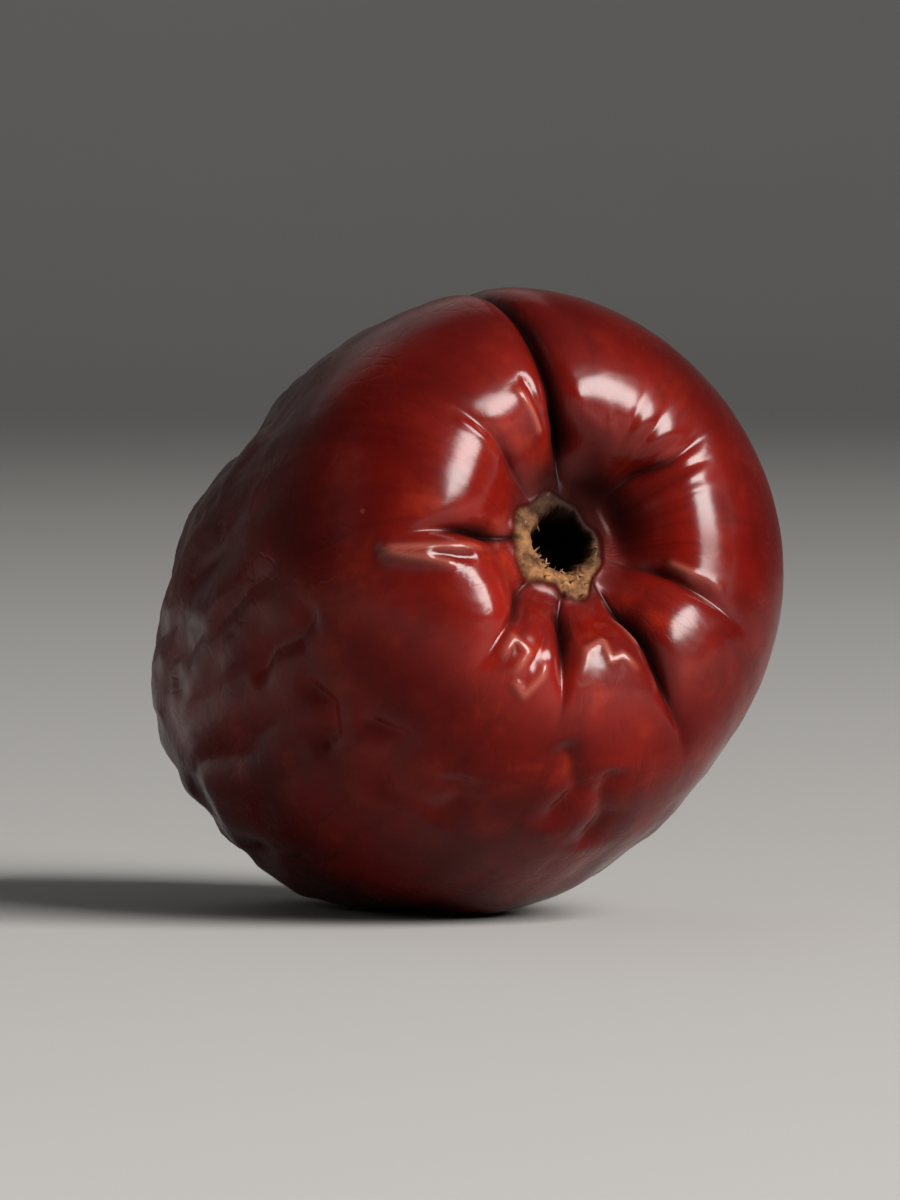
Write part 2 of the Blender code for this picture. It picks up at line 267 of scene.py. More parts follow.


# %% [markdown]
# ## Fine gathers and crisp edges
# Some pillows between the creases have a crisp edge where the skin is folded over. No formula puts these in
# the right places, so each is drawn as a line of a few corners on the skin: a positive height is a ridge
# and a negative one a valley. The relief falls off with the distance from the line, and the crests of the
# higher ridges are painted pale pink, partly as wear and partly as a painted highlight along the edge. A
# few wide valleys are the soft folds low on the side of the body. The fine gathers on one side of the lip
# are evenly spaced, so a wave round the fruit makes them.

# %% Drawn lines: height, half width, then corners as (longitude in degrees, reach in mm)
DRAWN_LINES = (
    (0.17 * MM, 0.18 * MM, (183, 9.6), (185, 8.0), (187, 6.4), (189, 5.0)),
    (0.20 * MM, 0.24 * MM, (183, 9.6), (187, 8.3), (190, 7.4), (195, 6.6)),
    (0.08 * MM, 0.50 * MM, (192, 7.0), (198, 6.3), (206, 6.0), (215, 6.3), (220, 7.0)),
    (-0.12 * MM, 0.17 * MM, (188, 7.6), (191, 6.6), (194, 5.6)),
    (0.12 * MM, 0.13 * MM, (340, 4.0), (336, 5.1), (335, 6.8)),
    (0.12 * MM, 0.15 * MM, (290, 3.4), (289, 5.1), (289, 7.8)),
    (0.09 * MM, 0.13 * MM, (258, 2.9), (257, 4.9), (257, 7.5)),
    (0.07 * MM, 0.12 * MM, (246, 3.4), (246, 5.0), (247, 6.6)),
    (0.14 * MM, 0.15 * MM, (230, 7.5), (229, 6.4), (237, 6.6), (236, 7.8)),
    (0.14 * MM, 0.15 * MM, (236, 7.8), (242, 8.2), (245, 7.3), (245, 6.5)),
    (-0.12 * MM, 0.16 * MM, (239, 4.4), (241, 5.8), (240, 7.2)),
    (0.12 * MM, 0.20 * MM, (259, 6.9), (262, 5.5), (270, 5.1), (272, 6.0), (278, 5.8), (284, 6.7)),
    (-0.10 * MM, 0.22 * MM, (274, 4.0), (276, 5.0)),
    (-0.18 * MM, 0.17 * MM, (109, 7.0), (108, 5.9), (105, 4.6)),
    (0.15 * MM, 0.20 * MM, (114, 6.7), (112, 5.6), (109, 4.5)),
    (0.10 * MM, 0.13 * MM, (139, 7.4), (139, 6.0), (139, 4.6)),
    (0.11 * MM, 0.32 * MM, (91, 6.4), (84, 5.2), (74, 4.8), (66, 5.1)),
)
SOFT_FOLDS = (
    (-0.52 * MM, 0.46 * MM, (202, 16.0), (210, 15.1), (215, 16.0), (216, 17.6)),
    (-0.48 * MM, 0.46 * MM, (216, 14.2), (225, 13.0), (228, 15.3), (232, 16.4)),
    (-0.38 * MM, 0.42 * MM, (258, 9.4), (264, 10.6), (267, 11.8), (263, 14.0)),
    (-0.36 * MM, 0.44 * MM, (240, 12.6), (244, 13.8), (242, 15.6)),
    (-0.36 * MM, 0.42 * MM, (276, 10.6), (274, 12.0), (277, 13.6), (275, 15.6)),
    (-0.36 * MM, 0.44 * MM, (190, 13.0), (194, 14.8), (193, 17.2), (197, 19.4)),
)
HALF_WIDTHS_SEEN, DRAWN_SPREAD, SOFT_FROM_WIDTH = 6, 0.6, 0.3 * MM
WEAR_AND_HIGHLIGHT_FROM_HEIGHT, WEAR_AND_HIGHLIGHT_WIDTH = 0.12 * MM, 0.15 * MM
GATHERS_FROM, GATHERS_TO, GATHERS_APART = math.radians(16), math.radians(61), math.radians(11)
GATHERS_HEIGHT, GATHERS_REACH, GATHERS_LENGTH = 0.11 * MM, 5.5 * MM, 1.3 * MM
GATHERS_SHARPNESS = 0.01


def drawn_lines(plain, longitude, reach):
    relief, wear_and_highlight = np.zeros_like(reach), np.zeros_like(reach)
    for height, half_width, *corners in DRAWN_LINES + SOFT_FOLDS:
        degrees, far = np.array(corners, float).T
        around, far = np.radians(degrees), far * MM
        radius = np.interp(far, OUTLINE_REACH, OUTLINE_RADIUS)
        level = np.interp(far, OUTLINE_REACH, OUTLINE_HEIGHT)
        path = np.stack([radius * np.cos(around), radius * np.sin(around), level], axis=1)
        margin = HALF_WIDTHS_SEEN * half_width
        near = np.flatnonzero((reach > far.min() - margin) & (reach < far.max() + margin))
        near = near[np.abs(angle_from(longitude[near], around.mean())) < DRAWN_SPREAD]
        closest, share = np.full(len(near), np.inf), np.zeros(len(near))
        for index, (start, end) in enumerate(zip(path, path[1:])):
            run = end - start
            along = np.clip((plain[near] - start) @ run / (run @ run), 0, 1)
            gap = np.linalg.norm(plain[near] - start - along[:, None] * run, axis=1)
            share = np.where(gap < closest, (index + along) / (len(path) - 1), share)
            closest = np.minimum(gap, closest)
        taper = np.clip(8 * share * (1 - share), 0, 1)
        sharp = height < 0 and half_width < SOFT_FROM_WIDTH
        rounding = CREASE_ROUNDING if sharp else 0.5 * half_width
        fall = np.exp((rounding - np.sqrt(closest**2 + rounding**2)) / half_width)
        relief[near] += height * taper * fall
        # Painted highlight, partly wear: the crest of a high ridge is marked for a pale pink line.
        if height >= WEAR_AND_HIGHLIGHT_FROM_HEIGHT:
            wear_and_highlight[near] = np.maximum(wear_and_highlight[near], taper * np.exp(-((closest / WEAR_AND_HIGHLIGHT_WIDTH) ** 2)))
    return relief, wear_and_highlight


def gathers(plain, longitude, reach):
    phase = math.pi * (longitude - GATHERS_FROM) / GATHERS_APART + 0.3 * slow_field(plain, 1.6 * MM, GATHERS_SEED)
    ridges = np.sqrt(np.sin(phase) ** 2 + GATHERS_SHARPNESS)
    edge = 0.5 * GATHERS_APART
    inside = smooth_step(longitude, GATHERS_FROM - edge, GATHERS_FROM + edge)
    inside = inside * within(longitude, GATHERS_TO - edge, GATHERS_TO + edge)
    fall = np.exp(-(((reach - GATHERS_REACH) / GATHERS_LENGTH) ** 2))
    return GATHERS_HEIGHT * (ridges - 0.5) * inside * fall


print(len(STALK_CREASES + BLOSSOM_CREASES), "creases and", len(DRAWN_LINES + SOFT_FOLDS), "drawn lines")

# %% [markdown]
# ## Everything that shapes the skin
# The relief is added along the outward direction of the turned body: lumps, creases, drawn lines, gathers,
# the belly that the fruit lies on, its folds and a low shoulder. The side near the stalk that faces the
# camera stayed calm, so folds are held back there. The same call also returns masks, numbers from 0 to 1
# that say how corky, how slack and how hollow each point is. The later cells use them to place crinkles and
# colours, so a colour always sits on the form that it belongs to.

# %% Folds, the belly and the stalk scar
CALM_LONGITUDE = math.radians(215)
CALM_SHARE, CALM_FOR_CRINKLES = 0.7, 0.9
SHOULDER_LONGITUDE, SHOULDER_SPREAD, SHOULDER_DROP = math.radians(5), 1.4, 0.5 * MM
POCKET_LONGITUDE, POCKET_SPREAD = math.radians(22), 0.85
POCKET_RADIUS, POCKET_WIDTH, POCKET_DEPTH = 2.25 * MM, 0.65 * MM, 0.75 * MM


def belly_share(longitude, radius, height):
    side = angle_from(longitude, BELLY_LONGITUDE) * radius / BELLY_WIDTH
    return np.exp(-(side**2) - ((height - BELLY_AT) / BELLY_LENGTH) ** 2)


def body_share(reach):
    return smooth_step(reach, 12 * MM, 21 * MM) * smooth_step(OUTLINE_LENGTH - reach, 1.5 * MM, 6 * MM)


def calm_share(longitude, height, width, low, high):
    return np.exp(-((angle_from(longitude, CALM_LONGITUDE) / width) ** 2)) * smooth_step(height, low, high)


def folds(plain, slack):
    main = FOLD_HEIGHT * slack * round_folds(*wave_field(plain, FOLD_SPACING, FOLD_SEED))
    patches = np.clip(0.6 + 0.5 * slow_field(plain, 6 * MM, PATCH_SEED), 0, 1.2)
    wrinkles = sharp_folds(*wave_field(plain, WRINKLE_SPACING, WRINKLE_SEED))
    return main + WRINKLE_HEIGHT * slack * patches * wrinkles


def scallops(plain, reach):
    body = smooth_step(reach, 13 * MM, 20 * MM) * smooth_step(OUTLINE_LENGTH - reach, 2 * MM, 6 * MM)
    waves = wave_field(plain, SCALLOP_SPACING, SCALLOP_SEED, SCALLOP_WANDER)
    return SCALLOP_HEIGHT * body * round_folds(*waves)


def low_shoulder(longitude, reach):
    around = np.exp(-((angle_from(longitude, SHOULDER_LONGITUDE) / SHOULDER_SPREAD) ** 2))
    outside = smooth_step(reach, 4.3 * MM, 7.0 * MM) * within(reach, 13 * MM, 24 * MM)
    return SHOULDER_DROP * around * outside


def unevenness(longitude, lean, towards):
    corners = 0.04 * np.cos(4 * longitude) + 0.03 * np.sin(7 * longitude)
    return 1 + lean * np.cos(longitude - towards) + corners


def beside_pocket(longitude):
    return np.exp(-((angle_from(longitude, POCKET_LONGITUDE) / POCKET_SPREAD) ** 2))


def ring_and_hole(longitude, in_ring, in_hole):
    kept = 1 - RING_LOWERED * beside_pocket(longitude)
    ring = RING_HEIGHT * kept * np.exp(-(((in_ring - RING_RADIUS) / RING_WIDTH) ** 2))
    hole = HOLE_DEPTH * within(in_hole, 0.45 * HOLE_RADIUS, 1.2 * HOLE_RADIUS)
    return ring - hole


def pocket(longitude, radius):
    across = (radius - POCKET_RADIUS) / POCKET_WIDTH
    return POCKET_DEPTH * beside_pocket(longitude) * np.exp(-(across**2))


# %% Masks: where the cork, the painted shade round the ring and in the pocket, and the gloss begin and end
CORK_EDGE, DULL_AND_SHADED_EDGE, HOLE_EDGE = (1.72 * MM, 1.94 * MM), (1.88 * MM, 2.20 * MM), (0.98 * MM, 1.24 * MM)
SHADE_EDGE, AWAY_EDGE, TIP_EDGE = (2.3 * MM, 3.4 * MM), (2.5 * MM, 3.0 * MM), (0.7 * MM, 1.3 * MM)
GLOSS_EDGE, OUTER_EDGE = (7 * MM, 10.5 * MM), (5.5 * MM, 10 * MM)
TORN_BY, TORN_SIZE, TIP_TORN_BY, TIP_TORN_SIZE = 0.12 * MM, 0.8 * MM, 0.15 * MM, 1 * MM
RIM_SHADE_WIDENING = 0.35 * MM
AWAY_LONGITUDE = math.radians(60)
CRISP_LONGITUDE, CRISP_SPREAD, CRISP_REACH = math.radians(188), 0.3, 3 * MM
SCUFFED_LONGITUDE, SCUFFED_SPREAD, SCUFFED_SHARE = math.radians(351), 0.17, 0.8
HOLLOW_GATHERS, HOLLOW_FOLDS = 0.9 * MM, 0.5 * MM


def away_from_light(longitude):
    return 0.5 + 0.5 * np.cos(longitude - AWAY_LONGITUDE)


def scar_masks(plain, longitude, radius, in_ring, in_hole):
    torn = TORN_BY * slow_field(plain, TORN_SIZE, TORN_SEED)
    # Painted shade: a rim just outside the cork, wider beside the pocket, is darkened, made unlit and dull.
    rim_shade_radius = in_ring + torn - RIM_SHADE_WIDENING * beside_pocket(longitude)
    away = away_from_light(longitude)
    ragged_tip = radius + TIP_TORN_BY * slow_field(plain, TIP_TORN_SIZE, TIP_SEED)
    height = plain[:, 2]
    return {
        "cork": (height > 0) * within(in_ring + torn, *CORK_EDGE),
        "dull_and_shaded": (height > 0) * within(rim_shade_radius, *DULL_AND_SHADED_EDGE),
        "shaded": (height > 0) * within(radius + torn, *SHADE_EDGE) * away**1.5,
        "away": (height > 0) * within(radius, *AWAY_EDGE) * away,
        "hole": (height > 0) * within(in_hole + torn, *HOLE_EDGE),
        "tip": (height < 0) * within(ragged_tip, *TIP_EDGE),
    }


def film_masks(longitude, reach, gathered, folded):
    crisp = CRISP_REACH * np.exp(-((angle_from(longitude, CRISP_LONGITUDE) / CRISP_SPREAD) ** 2))
    scuffed = np.exp(-((angle_from(longitude, SCUFFED_LONGITUDE) / SCUFFED_SPREAD) ** 2))
    return {
        "glossy": (1 - SCUFFED_SHARE * scuffed) * within(reach - crisp, *GLOSS_EDGE),
        # Painted shade: the body away from the funnel's lip, most on the side turned from the key light.
        "outer": (0.2 + 0.8 * away_from_light(longitude)) * smooth_step(reach, *OUTER_EDGE),
        # How deep a crease or fold valley lies, used for painted shade and less gloss.
        "hollow": np.clip(-gathered / HOLLOW_GATHERS - folded / HOLLOW_FOLDS, 0, 1),
    }


# %% The skin: a point and its masks for each longitude and share of the way from the stalk
RING_CLOSENESS_AT = (0 * MM, 2.4 * MM, 3.2 * MM, 9 * MM, 13 * MM)
RING_CLOSENESS = (3.2, 3.2, 1.8, 1.6, 1.0)
MERIDIAN_RADIUS = 8 * MM


def reach_of(share):
    closeness = np.interp(OUTLINE_REACH, RING_CLOSENESS_AT, RING_CLOSENESS)
    passed = np.concatenate([[0], np.cumsum(np.diff(OUTLINE_REACH) * (closeness[1:] + closeness[:-1]) / 2)])
    return np.interp(share * passed[-1], passed, OUTLINE_REACH)


def skin(longitude, share):
    reach = reach_of(share)
    radius = np.interp(reach, OUTLINE_REACH, OUTLINE_RADIUS)
    height = np.interp(reach, OUTLINE_REACH, OUTLINE_HEIGHT)
    slope_r = np.interp(reach, OUTLINE_REACH, np.gradient(OUTLINE_RADIUS, OUTLINE_REACH))
    slope_h = np.interp(reach, OUTLINE_REACH, np.gradient(OUTLINE_HEIGHT, OUTLINE_REACH))
    cosine, sine = np.cos(longitude), np.sin(longitude)
    plain = np.stack([radius * cosine, radius * sine, height], axis=1)
    outward = np.stack([-slope_h * cosine, -slope_h * sine, slope_r], axis=1)

    stalk_side = reach < OUTLINE_LENGTH / 2
    wander = CREASE_WANDER * slow_field(plain, 5 * MM, WANDER_SEED)
    wandering = longitude + wander * smooth_step(radius, 3 * MM, 9 * MM)
    near_stalk = creases(wandering, radius, reach, STALK_CREASES, STALK_CREASE_START)
    near_blossom = creases(wandering, radius, OUTLINE_LENGTH - reach, BLOSSOM_CREASES, BLOSSOM_CREASE_START)
    gathered, crevice = np.where(stalk_side, near_stalk, near_blossom)
    belly = belly_share(longitude, radius, height)
    slack = body_share(reach) * (1 - CALM_SHARE * calm_share(longitude, height, 1.15, -15 * MM, -4 * MM))
    calm = calm_share(longitude, height, 1.35, -19 * MM, -10 * MM)
    crinkled = body_share(reach) * (1 - CALM_FOR_CRINKLES * calm)
    folded = (1 - BELLY_SMOOTHNESS * belly) * (folds(plain, slack) + scallops(plain, reach))
    lumps = LUMP_HEIGHT * slow_field(plain, LUMP_SIZE, LUMP_SEED)
    relief = lumps * smooth_step(radius, STALK_CREASE_START, 6 * MM)
    drawn, wear_and_highlight = drawn_lines(plain, longitude, reach)
    relief += gathered + drawn + gathers(plain, longitude, reach)
    relief += BELLY_HEIGHT * belly + folded - low_shoulder(longitude, reach)

    points = plain + outward * relief[:, None]
    in_ring = radius / unevenness(longitude, RING_LEAN, RING_TOWARDS)
    in_hole = radius / unevenness(longitude, HOLE_LEAN, HOLE_TOWARDS)
    scar = ring_and_hole(longitude, in_ring, in_hole) - pocket(longitude, radius)
    points[:, 2] += np.where(height > 0, scar, 0)
    masks = {"crevice": crevice, "wear_and_highlight": wear_and_highlight}
    masks.update({"slack": slack * (1 - belly), "crinkled": crinkled * (1 - belly)})
    masks.update(scar_masks(plain, longitude, radius, in_ring, in_hole))
    masks.update(film_masks(longitude, reach, gathered, folded))
    meridian = np.stack([MERIDIAN_RADIUS * cosine, MERIDIAN_RADIUS * sine, reach], axis=1)
    return points, {"own_place": plain, "meridian_place": meridian}, masks


# %% [markdown]
# ## From numbers to a mesh
# A network of meridians and rings covers the fruit, with one point at each pole. It is built row by row,
# because the fibres are scattered over its faces later: the same order of faces gives the same fibres each
# time. Then the fruit is laid on its side, raised by its pitch, sunk a little into the floor, and moved so
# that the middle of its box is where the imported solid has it. What is below the floor is pressed flat
# later, when the crinkles are in.

# %% Build the skin mesh and lay it on the floor
MERIDIANS, RINGS = 436, 229


def laid_down(points):
    turn = np.array(Matrix.Rotation(math.pi / 2 - REST_PITCH, 3, "X"))
    points = points @ turn.T
    return points - [0, 0, points[:, 2].min() + REST_FLAT_DEPTH]


def centred_like_the_solid(points):
    wanted = (np.array(FRUIT_LOW) + np.array(FRUIT_HIGH)) / 2
    middle = (points.min(axis=0) + points.max(axis=0)) / 2
    return points + [wanted[0] - middle[0], wanted[1] - middle[1], 0]


def add_object(name, data):
    thing = bpy.data.objects.new(name, data)
    bpy.context.scene.collection.objects.link(thing)
    return thing


def points_of(mesh):
    places = np.empty(len(mesh.vertices) * 3)
    mesh.vertices.foreach_get("co", places)
    return places.reshape(-1, 3)


def next_in_row(row):
    return row[1:] + row[:1]


def network():
    meridian = np.tile(np.arange(MERIDIANS), RINGS - 1)
    ring = np.repeat(np.arange(1, RINGS), MERIDIANS)
    longitude = np.concatenate([[0], 2 * math.pi * meridian / MERIDIANS, [0]])
    share = np.concatenate([[0], ring / RINGS, [1]])
    rows = np.arange(1, len(share) - 1).reshape(RINGS - 1, MERIDIANS).tolist()
    blossom_pole = len(share) - 1
    faces = [(0, *pair) for pair in zip(rows[0], next_in_row(rows[0]))]
    for upper, lower in zip(rows, rows[1:]):
        faces += zip(upper, lower, next_in_row(lower), next_in_row(upper))
    faces += [(here, blossom_pole, after) for here, after in zip(rows[-1], next_in_row(rows[-1]))]
    return longitude, share, faces


def skin_mesh():
    longitude, share, faces = network()
    points, places, masks = skin(longitude, share)
    points = centred_like_the_solid(laid_down(points))
    mesh = bpy.data.meshes.new("fruit_skin")
    mesh.from_pydata(points.tolist(), [], faces)
    for name, place in places.items():
        mesh.attributes.new(name, "FLOAT_VECTOR", "POINT").data.foreach_set("vector", place.ravel())
    for name, values in masks.items():
        mesh.attributes.new(name, "FLOAT", "POINT").data.foreach_set("value", values.astype(float))
    mesh.shade_smooth()
    return mesh


raw_skin = add_object("raw_skin", skin_mesh())
print("skin has", len(raw_skin.data.vertices), "points and", len(raw_skin.data.polygons), "faces")

# %% [markdown]
# ## Helpers for node trees
# Geometry and shader trees are built by the same few helpers. One adds a node and fills its inputs with
# numbers or with another node's output, one does arithmetic, one mixes two colours, and one ends a geometry
# tree. Short helpers keep the later cells about the fruit and not about clicking nodes together.


# %% Small helpers for any node tree
def fill_inputs(tree, node, inputs):
    for name, value in inputs.items():
        if isinstance(value, bpy.types.NodeSocket):
            tree.links.new(value, node.inputs[name])
        else:
            node.inputs[name].default_value = value


def put_node(tree, kind, inputs=None, **settings):
    node = tree.nodes.new(kind)
    for name, value in settings.items():
        setattr(node, name, value)
    fill_inputs(tree, node, inputs or {})
    return node


def number(tree, operation, *values, clamp=False):
    inputs = dict(enumerate(values))
    return put_node(tree, "ShaderNodeMath", inputs, operation=operation, use_clamp=clamp).outputs[0]


def product(tree, first, *others):
    for other in others:
        first = number(tree, "MULTIPLY", first, other)
    return first


def largest(tree, first, *others):
    for other in others:
        first = number(tree, "MAXIMUM", first, other)
    return first


def vector(tree, operation, *values):
    names = {"SCALE": (0, "Scale")}.get(operation, (0, 1))
    return put_node(tree, "ShaderNodeVectorMath", dict(zip(names, values)), operation=operation).outputs[0]


def stretched(tree, place, share):
    return vector(tree, "MULTIPLY", place, (1.0, 1.0, share))


def ramp(tree, value, low, high, to_low=0.0, to_high=1.0):
    inputs = {"Value": value, "From Min": low, "From Max": high, "To Min": to_low, "To Max": to_high}
    return put_node(tree, "ShaderNodeMapRange", inputs, interpolation_type="SMOOTHSTEP").outputs[0]


def mix_colours(tree, share, first, second):
    return put_node(tree, "ShaderNodeMix", {0: share, 6: first, 7: second}, data_type="RGBA").outputs[2]


def noise(tree, place, size, detail=2.0, roughness=0.5):
    scale = number(tree, "DIVIDE", 1.0, size) if isinstance(size, bpy.types.NodeSocket) else 1 / size
    inputs = {"Vector": place, "Scale": scale, "Detail": detail, "Roughness": roughness}
    return put_node(tree, "ShaderNodeTexNoise", inputs).outputs[0]


def new_inputs(tree, sockets):
    for name, kind, value in sockets:
        socket = tree.interface.new_socket(name, in_out="INPUT", socket_type="NodeSocket" + kind)
        if value is not None:
            socket.default_value = value


def end_geometry_tree(tree, geometry, finish, output):
    real = put_node(tree, "GeometryNodeRealizeInstances", {"Geometry": geometry}).outputs[0]
    done = put_node(tree, "GeometryNodeSetMaterial", {"Geometry": real, "Material": finish}).outputs[0]
    put_node(tree, "NodeGroupOutput", {output: done})
    return tree


print("helpers ready")

# %% [markdown]
# ## Crinkles from Geometry Nodes
# Over the folds the dried skin has a net of thin ridges with slightly hollow panes between them, and finer
# crinkles on top. A net follows a rule, so a Geometry Nodes tree makes it: a cell pattern, stretched along
# the fruit and bent by a noise, gives the ridges, and every point moves along its normal. The corky ring
# gets its rough grain here too. The tree's sizes are named inputs, so the crinkles can be made coarser
# without touching a node.

# %% The tree that crinkles the skin
CRINKLE_SIZES = (
    ("Ridge Size", "Float", 4.4 * MM),
    ("Ridge Height", "Float", 0.16 * MM),
    ("Crinkle Size", "Float", 1.5 * MM),
    ("Crinkle Height", "Float", 0.05 * MM),
    ("Cork Grain", "Float", 0.34 * MM),
    ("Cork Height", "Float", 0.13 * MM),
)
BEND_SIZE, BEND_BY, PATCH_SIZE = 3.5 * MM, 3.0 * MM, 9 * MM
RIDGE_SQUEEZE, RIDGE_WIDTH, RIDGE_SHARPNESS, PANE_LEVEL = 0.62, 0.34, 2.2, 0.25
CRINKLE_SQUEEZE, CRINKLE_LEVEL, CRINKLES_WHERE_SLACK, CRINKLES_ANYWHERE = 0.4, 0.08, 9.0, 1.2


def named(tree, name, kind="FLOAT"):
    return put_node(tree, "GeometryNodeInputNamedAttribute", {"Name": name}, data_type=kind).outputs[0]


def crinkle_tree():
    tree = bpy.data.node_groups.new("crinkled_skin", "GeometryNodeTree")
    new_inputs(tree, (("Skin", "Geometry", None), *CRINKLE_SIZES, ("Finish", "Material", None)))
    tree.interface.new_socket("Skin", in_out="OUTPUT", socket_type="NodeSocketGeometry")
    sizes = put_node(tree, "NodeGroupInput").outputs
    place, slack = named(tree, "own_place", "FLOAT_VECTOR"), named(tree, "crinkled")
    bend = {"Vector": place, "Scale": 1 / BEND_SIZE, "Detail": 1.0}
    bend = put_node(tree, "ShaderNodeTexNoise", bend).outputs[1]
    bend = vector(tree, "SCALE", vector(tree, "SUBTRACT", bend, (0.5, 0.5, 0.5)), BEND_BY)
    bent = vector(tree, "ADD", place, bend)
    per_metre = number(tree, "DIVIDE", 1.0, sizes["Ridge Size"])
    cells = {"Vector": stretched(tree, bent, RIDGE_SQUEEZE), "Scale": per_metre}
    cells = put_node(tree, "ShaderNodeTexVoronoi", cells, feature="DISTANCE_TO_EDGE")
    ridge = number(tree, "POWER", ramp(tree, cells.outputs[0], 0.0, RIDGE_WIDTH, 1.0, 0.0), RIDGE_SHARPNESS)
    patch = ramp(tree, noise(tree, place, PATCH_SIZE, 1.0), 0.36, 0.6)
    ridge = product(tree, number(tree, "SUBTRACT", ridge, PANE_LEVEL), patch, slack)
    crinkle = noise(tree, stretched(tree, bent, CRINKLE_SQUEEZE), sizes["Crinkle Size"], 2.0)
    crinkle = number(tree, "ABSOLUTE", number(tree, "SUBTRACT", crinkle, 0.5))
    crinkle = number(tree, "SUBTRACT", CRINKLE_LEVEL, crinkle)
    strength = number(tree, "MULTIPLY_ADD", slack, CRINKLES_WHERE_SLACK, CRINKLES_ANYWHERE)
    crinkle = number(tree, "MULTIPLY", crinkle, strength)
    cork = number(tree, "SUBTRACT", noise(tree, place, sizes["Cork Grain"], 4.0, 0.62), 0.5)
    cork = product(tree, cork, 2.6, named(tree, "cork"))
    rise = number(tree, "MULTIPLY", ridge, sizes["Ridge Height"])
    rise = number(tree, "MULTIPLY_ADD", crinkle, sizes["Crinkle Height"], rise)
    rise = number(tree, "MULTIPLY_ADD", cork, sizes["Cork Height"], rise)
    offset = vector(tree, "SCALE", put_node(tree, "GeometryNodeInputNormal").outputs[0], rise)
    moved = {"Geometry": sizes["Skin"], "Offset": offset}
    moved = put_node(tree, "GeometryNodeSetPosition", moved).outputs[0]
    return end_geometry_tree(tree, moved, sizes["Finish"], "Skin")


CRINKLES = crinkle_tree()
print("crinkle tree has", len(CRINKLES.nodes), "nodes")

# %% [markdown]
# ## Finishes
# Dried jujube skin is a thin glossy film over brown flesh. Its red is deep and uneven, and browner where it
# has shrunk most. Shade is painted on top: the body darkens away from the lip of the funnel and on the side
# turned from the key light, the creases and the slits in them are nearly black, and the rim round the cork,
# the pocket beside it and the hole are darkened too. The crests of the higher ridges are painted pale,
# partly wear and partly a painted highlight. Two effects are used by more than one material, so they are
# node groups: an uneven tone between two colours, and a fine grain for bump.

# %% Shared effects as shader node groups
def uneven_tone_group():
    tree = bpy.data.node_groups.new("uneven_tone", "ShaderNodeTree")
    new_inputs(tree, (("Place", "Vector", None), ("Size", "Float", 3 * MM), ("Contrast", "Float", 0.5)))
    new_inputs(tree, (("Dark", "Color", (0, 0, 0, 1)), ("Light", "Color", (1, 1, 1, 1))))
    for name, kind in (("Colour", "Color"), ("Share", "Float")):
        tree.interface.new_socket(name, in_out="OUTPUT", socket_type="NodeSocket" + kind)
    given = put_node(tree, "NodeGroupInput").outputs
    spread = number(tree, "DIVIDE", 0.25, given["Contrast"])
    share = noise(tree, given["Place"], given["Size"], 4.0, 0.55)
    share = ramp(tree, share, number(tree, "SUBTRACT", 0.5, spread), number(tree, "ADD", 0.5, spread))
    colour = mix_colours(tree, share, given["Dark"], given["Light"])
    put_node(tree, "NodeGroupOutput", {"Colour": colour, "Share": share})
    return tree


def fine_grain_group():
    tree = bpy.data.node_groups.new("fine_grain", "ShaderNodeTree")
    new_inputs(tree, (("Place", "Vector", None), ("Size", "Float", 0.3 * MM), ("Pits", "Float", 0.5)))
    tree.interface.new_socket("Height", in_out="OUTPUT", socket_type="NodeSocketFloat")
    given = put_node(tree, "NodeGroupInput").outputs
    grain = noise(tree, given["Place"], given["Size"], 3.0, 0.6)
    scale = number(tree, "DIVIDE", 0.7, given["Size"])
    pits = put_node(tree, "ShaderNodeTexVoronoi", {"Vector": given["Place"], "Scale": scale}).outputs[0]
    pits = number(tree, "MULTIPLY", ramp(tree, pits, 0.0, 0.35, -1.0, 0.0), given["Pits"])
    put_node(tree, "NodeGroupOutput", {"Height": number(tree, "ADD", grain, pits)})
    return tree


UNEVEN_TONE, FINE_GRAIN = uneven_tone_group(), fine_grain_group()


def use_group(tree, group, inputs):
    return put_node(tree, "ShaderNodeGroup", inputs, node_tree=group).outputs


def bump(tree, height, strength, distance):
    inputs = {"Strength": strength, "Distance": distance, "Height": height}
    return put_node(tree, "ShaderNodeBump", inputs).outputs[0]


def attribute(tree, name):
    return put_node(tree, "ShaderNodeAttribute", attribute_name=name).outputs


def new_material(name):
    material = bpy.data.materials.new(name)
    material.use_nodes = True
    return material, material.node_tree, material.node_tree.nodes["Principled BSDF"]


def make_plain_finish(name, tone, grain, strength, distance, roughness):
    material, tree, shader = new_material(name)
    place = put_node(tree, "ShaderNodeTexCoord").outputs["Object"]
    height = use_group(tree, FINE_GRAIN, {"Place": place, **grain})["Height"]
    fill_inputs(tree, shader, {
        "Base Color": use_group(tree, UNEVEN_TONE, {"Place": place, **tone})["Colour"],
        "Normal": bump(tree, height, strength, distance),
        "Roughness": roughness,
    })
    return material


print("groups", UNEVEN_TONE.name, FINE_GRAIN.name)

# %% Skin finish: deep red film, painted shade in the creases, round the ring and in the hole, tan cork
SKIN_DEEP, SKIN_BRIGHT = (0.060, 0.0018, 0.0012, 1), (0.190, 0.0070, 0.0034, 1)
SLACK_BROWN = (0.075, 0.0065, 0.0035, 1)
# Painted shade: the dark red that creases, fold valleys and the rim round the cork are darkened to.
CREASE_SHADE = (0.018, 0.0012, 0.0010, 1)
# Painted shade: the near black of the slit at the bottom of a deep crease.
CREVICE_SHADE_BLACK = (0.0040, 0.0004, 0.0004, 1)
CORK_DARK, CORK_TAN = (0.055, 0.021, 0.010, 1), (0.330, 0.158, 0.066, 1)
# Painted highlight, partly wear: the pale pink of the crest lines on the higher drawn ridges.
WEAR_AND_HIGHLIGHT_PINK = (0.420, 0.120, 0.085, 1)
CORK_SHADED = (0.022, 0.0105, 0.0068, 1)
